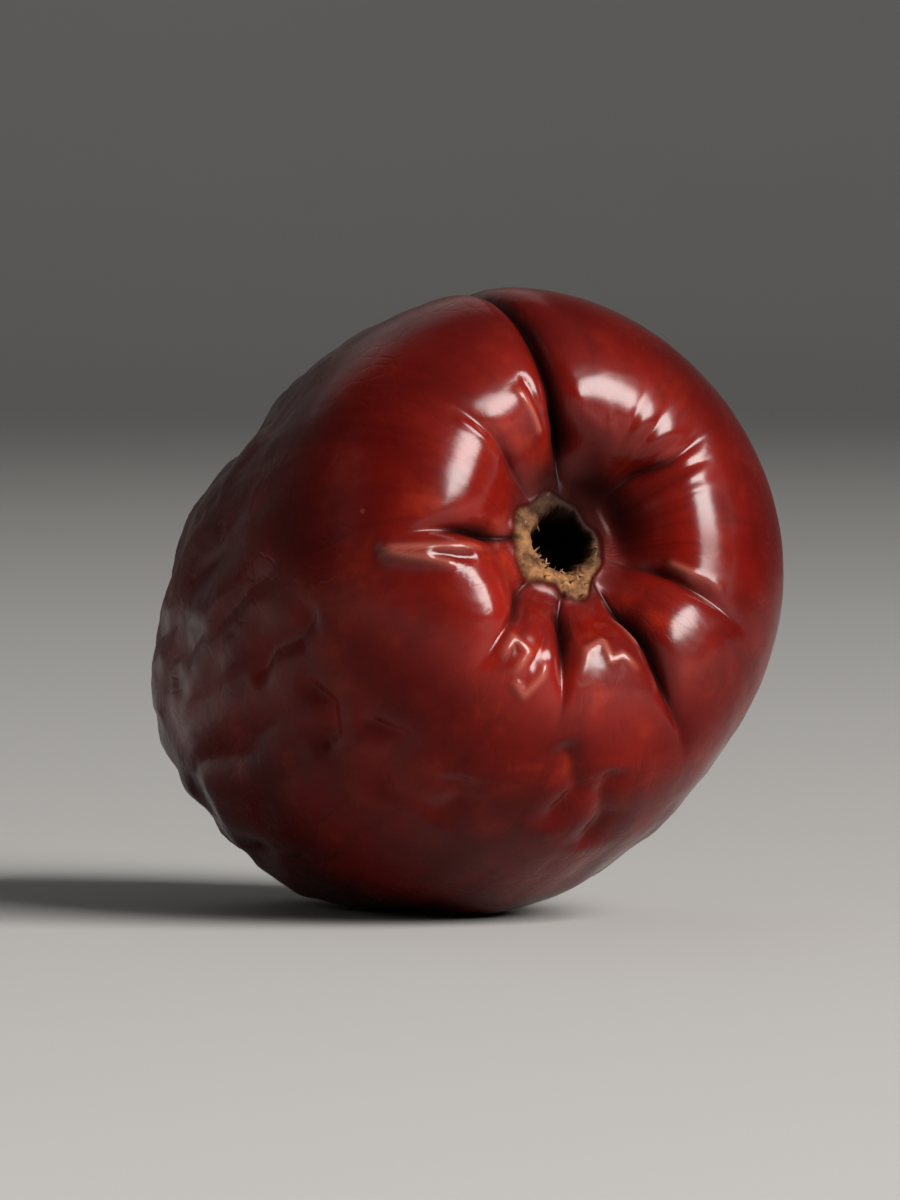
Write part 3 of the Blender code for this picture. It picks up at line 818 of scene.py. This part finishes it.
# Painted shade: the stalk hole is coloured near black.
HOLE_SHADE_BLACK = (0.0045, 0.0022, 0.0020, 1)
TIP_BROWN = (0.050, 0.021, 0.012, 1)
SPECK_TAN = (0.260, 0.080, 0.030, 1)
WARM_RED = (0.270, 0.0190, 0.0045, 1)
# Painted shade: the body darkens to this wine red away from the lip, most on the side turned from the key light.
BODY_SHADE_WINE = (0.042, 0.0016, 0.0014, 1)
# Painted shade: the pocket beside the ring, on the side turned from the key light.
POCKET_SHADE = (0.010, 0.0030, 0.0026, 1)
# Painted highlight, partly wear, on the pale crests; painted shade on the rim round the cork, in the crevices, in
# the pocket and in the hole. The blossom tip keeps its own brown.
UNDER_CORK = (("wear_and_highlight", 0.42, WEAR_AND_HIGHLIGHT_PINK), ("dull_and_shaded", 0.6, CREASE_SHADE), ("crevice", 1.0, CREVICE_SHADE_BLACK))
OVER_CORK = (("shaded", 0.9, POCKET_SHADE), ("tip", 1.0, TIP_BROWN), ("hole", 1.0, HOLE_SHADE_BLACK))
SPECK_SPACING, SPECK_SHARE = 1.7 * MM, 0.3
UNLIT_SHARE, COAT, COAT_ROUGHNESS, SPECULAR, SKIN_IOR = 0.95, 0.46, 0.22, 0.13, 1.45


def film_colour(tree, place, along):
    tone = {"Place": place, "Size": 5.5 * MM, "Contrast": 0.9, "Dark": SKIN_DEEP, "Light": SKIN_BRIGHT}
    tones = use_group(tree, UNEVEN_TONE, tone)
    warm = ramp(tree, noise(tree, place, 2.1 * MM, 4.0, 0.6), 0.50, 0.72, 0.0, 0.75)
    colour = mix_colours(tree, product(tree, warm, tones["Share"]), tones["Colour"], WARM_RED)
    streaks = noise(tree, stretched(tree, along, 0.12), 0.9 * MM, 4.0, 0.6)
    return mix_colours(tree, ramp(tree, streaks, 0.48, 0.72, 0.0, 0.5), colour, SKIN_DEEP)


def body_colour(tree, place, masks, colour):
    browned = ramp(tree, noise(tree, place, 7 * MM, 3.0), 0.4, 0.62, 0.1, 0.8)
    colour = mix_colours(tree, product(tree, masks["slack"], browned), colour, SLACK_BROWN)
    patchy = ramp(tree, noise(tree, place, 4.0 * MM, 3.0), 0.3, 0.7, 1.0, 0.75)
    # Painted shade: darker body away from the lip, in random patches.
    return mix_colours(tree, product(tree, masks["outer"], patchy), colour, BODY_SHADE_WINE)


def specked_colour(tree, place, colour):
    dots = put_node(tree, "ShaderNodeTexVoronoi", {"Vector": place, "Scale": 1 / SPECK_SPACING})
    chosen = put_node(tree, "ShaderNodeSeparateColor", {0: dots.outputs[1]}).outputs[0]
    dot = ramp(tree, dots.outputs[0], 0.03, 0.09, SPECK_SHARE, 0.0)
    return mix_colours(tree, product(tree, dot, ramp(tree, chosen, 0.62, 0.7)), colour, SPECK_TAN)


def layered(tree, masks, layers, colour):
    for name, share, layer_colour in layers:
        colour = mix_colours(tree, product(tree, masks[name], share), colour, layer_colour)
    return colour


def skin_colour(tree, place, along, masks):
    colour = body_colour(tree, place, masks, film_colour(tree, place, along))
    colour = specked_colour(tree, place, colour)
    # Painted shade: creases and fold valleys turn darker the deeper they lie.
    colour = mix_colours(tree, ramp(tree, masks["hollow"], 0.35, 1.0, 0.0, 0.85), colour, CREASE_SHADE)
    colour = layered(tree, masks, UNDER_CORK, colour)
    cork = {"Place": place, "Size": 0.55 * MM, "Contrast": 1.3, "Dark": CORK_DARK, "Light": CORK_TAN}
    cork = use_group(tree, UNEVEN_TONE, cork)["Colour"]
    cork = mix_colours(tree, product(tree, masks["away"], 0.9), cork, CORK_SHADED)
    return layered(tree, masks, OVER_CORK, mix_colours(tree, masks["cork"], colour, cork))


def skin_roughness(tree, place, masks):
    film = ramp(tree, noise(tree, place, 2.4 * MM, 4.0), 0.35, 0.68, 0.20, 0.31)
    film = number(tree, "MULTIPLY_ADD", masks["slack"], 0.06, film)
    film = number(tree, "MULTIPLY_ADD", ramp(tree, masks["hollow"], 0.35, 0.9), 0.40, film)
    dull_and_shaded = largest(tree, masks["cork"], masks["dull_and_shaded"], masks["tip"], masks["shaded"])
    return number(tree, "ADD", film, product(tree, dull_and_shaded, 0.5), clamp=True)


def skin_gloss(tree, masks):
    hollow = ramp(tree, masks["hollow"], 0.4, 0.9)
    hidden = largest(tree, masks["crevice"], masks["dull_and_shaded"], masks["hole"], masks["shaded"], hollow)
    return product(tree, number(tree, "SUBTRACT", 1.0, hidden), masks["glossy"], COAT)


def skin_bump(tree, place, along, masks):
    grain = use_group(tree, FINE_GRAIN, {"Place": place, "Size": 0.30 * MM, "Pits": 0.35})["Height"]
    wrinkle = noise(tree, stretched(tree, along, 0.35), 0.75 * MM, 3.0)
    wrinkle = number(tree, "MULTIPLY", wrinkle, number(tree, "MULTIPLY_ADD", masks["slack"], 1.6, 0.7))
    net = {"Vector": stretched(tree, along, 0.55), "Scale": 1 / (0.55 * MM)}
    net = put_node(tree, "ShaderNodeTexVoronoi", net, feature="DISTANCE_TO_EDGE").outputs[0]
    patchy = ramp(tree, noise(tree, place, 3.0 * MM, 2.0), 0.42, 0.64, 0.05, 1.0)
    net = product(tree, ramp(tree, net, 0.0, 0.14, -1.0, 0.0), patchy, 0.35)
    height = number(tree, "ADD", number(tree, "ADD", wrinkle, net), product(tree, grain, 0.30))
    height = number(tree, "MULTIPLY_ADD", masks["cork"], product(tree, grain, 3.0), height)
    return bump(tree, height, 0.35, 0.05 * MM)


SCAR_MASKS = ("cork", "dull_and_shaded", "shaded", "away", "hole", "tip")
FILM_MASKS = ("slack", "hollow", "crevice", "wear_and_highlight", "glossy", "outer")


def make_skin_finish():
    material, tree, shader = new_material("skin_finish")
    place, along = attribute(tree, "own_place")["Vector"], attribute(tree, "meridian_place")["Vector"]
    masks = {name: attribute(tree, name)["Fac"] for name in SCAR_MASKS + FILM_MASKS}
    unlit = largest(tree, masks["crevice"], masks["hole"], masks["dull_and_shaded"], masks["shaded"])
    bare_cork = number(tree, "SUBTRACT", masks["cork"], masks["hole"])
    fill_inputs(tree, shader, {
        "Base Color": skin_colour(tree, place, along, masks),
        "Roughness": skin_roughness(tree, place, masks),
        "Normal": skin_bump(tree, place, along, masks),
        "Metallic": product(tree, unlit, UNLIT_SHARE, number(tree, "SUBTRACT", 1.0, bare_cork)),
        "Coat Weight": skin_gloss(tree, masks),
        "Coat Roughness": COAT_ROUGHNESS,
        "Specular IOR Level": SPECULAR,
        "IOR": SKIN_IOR,
    })
    return material


SKIN_FINISH = make_skin_finish()
print(SKIN_FINISH.name, "has", len(SKIN_FINISH.node_tree.nodes), "nodes")

# %% Crinkle the skin and turn the result into a plain mesh
def with_tree(source, name, tree, values):
    source.modifiers.clear()
    modifier = source.modifiers.new("tree", "NODES")
    modifier.node_group = tree
    for item in tree.interface.items_tree:
        if item.in_out == "INPUT" and item.name in values:
            modifier[item.identifier] = values[item.name]
    bpy.context.view_layer.update()
    evaluated = source.evaluated_get(bpy.context.evaluated_depsgraph_get())
    mesh = bpy.data.meshes.new_from_object(evaluated)
    mesh.name = name
    source.modifiers.clear()
    return add_object(name, mesh)


def press_on_floor(mesh):
    places = points_of(mesh)
    places[:, 2] = np.maximum(places[:, 2], 0)
    mesh.vertices.foreach_set("co", places.ravel())
    mesh.update()


fruit_skin = with_tree(raw_skin, "fruit_skin", CRINKLES, {"Finish": SKIN_FINISH})
press_on_floor(fruit_skin.data)
bpy.data.objects.remove(raw_skin)
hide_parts("fruit")
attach(fruit_skin, "root")
print("crinkled skin has", len(fruit_skin.data.polygons), "faces")

# %% [markdown]
# ## Torn fibres on the corky ring
# Where the stalk broke off, a rim of cork with short torn fibres is left round the hole. One flake is a
# small bent blade. A Geometry Nodes tree scatters it over the cork with a fixed seed, tilts every copy a
# little differently and stands it on the skin along its normal.

# %% One flake, and the tree that scatters it over the cork
FLAKES = (
    ("Flakes Per Square Metre", "Float", 9.0e6),
    ("Shortest", "Float", 0.5),
    ("Longest", "Float", 1.5),
    ("Tilt", "Float", 0.9),
    ("Seed", "Int", 30),
)
HALF_TURN = 3.1416
FLAKE_DARK, FLAKE_LIGHT = (0.060, 0.023, 0.011, 1), (0.340, 0.175, 0.080, 1)


def flake_object():
    rows, length, bend_by, rooted = 5, 0.30 * MM, 0.10 * MM, 0.25
    half_width, half_thickness = 0.055 * MM, 0.020 * MM
    flake = bmesh.new()
    loops = []
    for row in range(rows):
        share = row / (rows - 1)
        half, deep = half_width * (1 - 0.75 * share), half_thickness * (1 - 0.6 * share)
        bend = bend_by * share**2
        corners = ((-half, 0), (0, -deep), (half, 0), (0, deep))
        loops.append([flake.verts.new((x, y + bend, (share - rooted) * length)) for x, y in corners])
    for lower, upper in zip(loops, loops[1:]):
        for index in range(4):
            after = (index + 1) % 4
            flake.faces.new((lower[index], lower[after], upper[after], upper[index]))
    flake.faces.new(loops[0][::-1])
    flake.faces.new(loops[-1])
    bmesh.ops.recalc_face_normals(flake, faces=flake.faces)
    mesh = bpy.data.meshes.new("flake")
    flake.to_mesh(mesh)
    flake.free()
    return add_object("flake", mesh)


def flake_tree():
    tree = bpy.data.node_groups.new("torn_flakes", "GeometryNodeTree")
    new_inputs(tree, (("Skin", "Geometry", None), ("Flake", "Object", None)))
    new_inputs(tree, (*FLAKES, ("Finish", "Material", None)))
    tree.interface.new_socket("Flakes", in_out="OUTPUT", socket_type="NodeSocketGeometry")
    given = put_node(tree, "NodeGroupInput").outputs
    cork, hole, place = named(tree, "cork"), named(tree, "hole"), named(tree, "own_place", "FLOAT_VECTOR")
    patch = ramp(tree, noise(tree, place, 0.7 * MM, 2.0), 0.42, 0.60)
    lit = number(tree, "SUBTRACT", 1.0, largest(tree, named(tree, "away"), hole))
    density = product(tree, cork, patch, lit, given["Flakes Per Square Metre"])
    scatter = {"Mesh": given["Skin"], "Density": density, "Seed": given["Seed"]}
    points = put_node(tree, "GeometryNodeDistributePointsOnFaces", scatter)
    tilt = put_node(tree, "FunctionNodeRandomValue", {"Seed": given["Seed"]}, data_type="FLOAT_VECTOR")
    spin = {0: given["Tilt"], 1: given["Tilt"], 2: HALF_TURN}
    spin = put_node(tree, "ShaderNodeCombineXYZ", spin).outputs[0]
    tree.links.new(spin, tilt.inputs[1])
    tree.links.new(vector(tree, "SCALE", spin, -1.0), tilt.inputs[0])
    turned = {"Rotation": points.outputs["Rotation"], "Rotate By": tilt.outputs[0]}
    turned = put_node(tree, "FunctionNodeRotateEuler", turned, space="LOCAL").outputs[0]
    size_inputs = {2: given["Shortest"], 3: given["Longest"], "Seed": number(tree, "ADD", given["Seed"], 1.0)}
    size = put_node(tree, "FunctionNodeRandomValue", size_inputs, data_type="FLOAT").outputs[1]
    flake = put_node(tree, "GeometryNodeObjectInfo", {"Object": given["Flake"]}).outputs["Geometry"]
    copies = {"Points": points.outputs["Points"], "Instance": flake, "Rotation": turned, "Scale": size}
    placed = put_node(tree, "GeometryNodeInstanceOnPoints", copies).outputs[0]
    return end_geometry_tree(tree, placed, given["Finish"], "Flakes")


def make_cork_finish():
    tone = {"Size": 0.35 * MM, "Contrast": 1.2, "Dark": FLAKE_DARK, "Light": FLAKE_LIGHT}
    return make_plain_finish("torn_cork", tone, {"Size": 0.08 * MM, "Pits": 0.4}, 0.5, 0.02 * MM, 0.85)


flake = flake_object()
carrier = add_object("carrier", fruit_skin.data.copy())
values = {"Flake": flake, "Finish": make_cork_finish()}
cork_fibres = with_tree(carrier, "cork_fibres", flake_tree(), values)
bpy.data.objects.remove(carrier)
bpy.data.objects.remove(flake)
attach(cork_fibres, "root")
print("cork fibres have", len(cork_fibres.data.polygons), "faces")

# %% [markdown]
# ## The stage
# The fruit lies on a plain pale floor that curves up far away all round, like the paper sweep of a photo
# studio, so no view shows an edge. It is a turned surface: flat in the middle, then a quarter of a circle.

# %% The floor
FLOOR_FLAT, FLOOR_BEND, FLOOR_WALL, FLOOR_LOWERED = 1.1, 0.8, 1.6, 1e-5
FLOOR_PALE, FLOOR_PALER = (0.38, 0.375, 0.365, 1), (0.42, 0.415, 0.405, 1)


def make_floor():
    profile = [(radius, 0.0) for radius in np.linspace(0.02, FLOOR_FLAT, 12)]
    for turn in np.linspace(0, math.pi / 2, 17)[1:]:
        profile.append((FLOOR_FLAT + FLOOR_BEND * math.sin(turn), FLOOR_BEND * (1 - math.cos(turn))))
    profile.append((FLOOR_FLAT + FLOOR_BEND, FLOOR_BEND + FLOOR_WALL))
    sweep = bmesh.new()
    around = np.linspace(0, 2 * math.pi, 96, endpoint=False)
    circle = [(math.cos(turn), math.sin(turn)) for turn in around]
    rings = [[sweep.verts.new((r * x, r * y, z - FLOOR_LOWERED)) for x, y in circle] for r, z in profile]
    sweep.faces.new(rings[0])
    for inner, outer in zip(rings, rings[1:]):
        for index in range(len(around)):
            after = (index + 1) % len(around)
            sweep.faces.new((inner[index], outer[index], outer[after], inner[after]))
    mesh = bpy.data.meshes.new("studio_floor")
    sweep.to_mesh(mesh)
    sweep.free()
    mesh.shade_smooth()
    return add_object("studio_floor", mesh)


def make_floor_finish():
    tone = {"Size": 0.25, "Contrast": 0.5, "Dark": FLOOR_PALE, "Light": FLOOR_PALER}
    return make_plain_finish("pale_paper", tone, {"Size": 0.5 * MM, "Pits": 0.0}, 0.12, 0.05 * MM, 0.75)


studio_floor = make_floor()
studio_floor.data.materials.append(make_floor_finish())
print("floor is flat to", FLOOR_FLAT, "m and bends up to", FLOOR_FLAT + FLOOR_BEND, "m")

# %% [markdown]
# ## Camera and light
# The camera looks at the stalk end from a little to its left and almost level with the fruit, through a
# long lens. A soft box high on the right draws the bright rims round the funnel, a very dim one fills the
# left, and a third, also dim, keeps the far side readable. The world is dim, so that the deep red stays
# deep.

# %% Camera
SCENE = bpy.context.scene
CAMERA_AZIMUTH, CAMERA_ELEVATION = math.radians(-24.5), math.radians(2)
CAMERA_DISTANCE, FRAME_HEIGHT, SENSOR_HEIGHT = 0.42, 0.046, 36
FRUIT_MIDDLE = (Vector(FRUIT_LOW) + Vector(FRUIT_HIGH)) / 2


def direction(azimuth, elevation):
    level = math.cos(elevation)
    return Vector((math.sin(azimuth) * level, -math.cos(azimuth) * level, math.sin(elevation)))


def aim(thing, place, target):
    thing.location = place
    thing.rotation_euler = (target - place).to_track_quat("-Z", "Y").to_euler()


def make_camera():
    data = bpy.data.cameras.new("camera")
    data.sensor_fit = "VERTICAL"
    data.sensor_height = SENSOR_HEIGHT
    data.lens = SENSOR_HEIGHT * CAMERA_DISTANCE / FRAME_HEIGHT
    data.clip_start, data.clip_end = 0.01, 10
    camera = add_object("camera", data)
    aim(camera, FRUIT_MIDDLE + CAMERA_DISTANCE * direction(CAMERA_AZIMUTH, CAMERA_ELEVATION), FRUIT_MIDDLE)
    SCENE.camera = camera
    return camera


camera = make_camera()
print("lens", round(camera.data.lens), "mm at", CAMERA_DISTANCE, "m")

# %% Lights and world
TO_CAMERA = direction(CAMERA_AZIMUTH, CAMERA_ELEVATION)
TO_RIGHT = Vector((math.cos(CAMERA_AZIMUTH), math.sin(CAMERA_AZIMUTH), 0))
TO_TOP = TO_CAMERA.cross(TO_RIGHT).normalized()
SOFT_BOXES = (
    ("key_box", (0.66, 0.50, 0.56), 0.80, (0.50, 0.40), 14.2, (1.0, 0.97, 0.94)),
    ("left_box", (-0.90, 0.50, 0.20), 0.60, (0.30, 0.30), 0.08, (0.95, 0.97, 1.0)),
    ("back_box", (-0.30, 0.80, -0.90), 0.70, (0.50, 0.40), 0.25, (1.0, 0.98, 0.95)),
)
WORLD_COLOUR, WORLD_STRENGTH = (0.96, 0.98, 1.0, 1), 0.12


def make_soft_box(name, towards, distance, size, power, colour):
    data = bpy.data.lights.new(name, "AREA")
    data.shape, data.size, data.size_y = "RECTANGLE", *size
    data.energy, data.color = power, colour
    box = add_object(name, data)
    right, top, near = towards
    way = (TO_RIGHT * right + TO_TOP * top + TO_CAMERA * near).normalized()
    aim(box, FRUIT_MIDDLE + way * distance, FRUIT_MIDDLE)
    box.visible_camera = False
    return box


for row in SOFT_BOXES:
    make_soft_box(*row)
world = bpy.data.worlds.new("dim_studio")
world.use_nodes = True
sky = {"Color": WORLD_COLOUR, "Strength": WORLD_STRENGTH}
fill_inputs(world.node_tree, world.node_tree.nodes["Background"], sky)
SCENE.world = world
SCENE.view_settings.view_transform = "Standard"
print(len(SOFT_BOXES), "soft boxes")
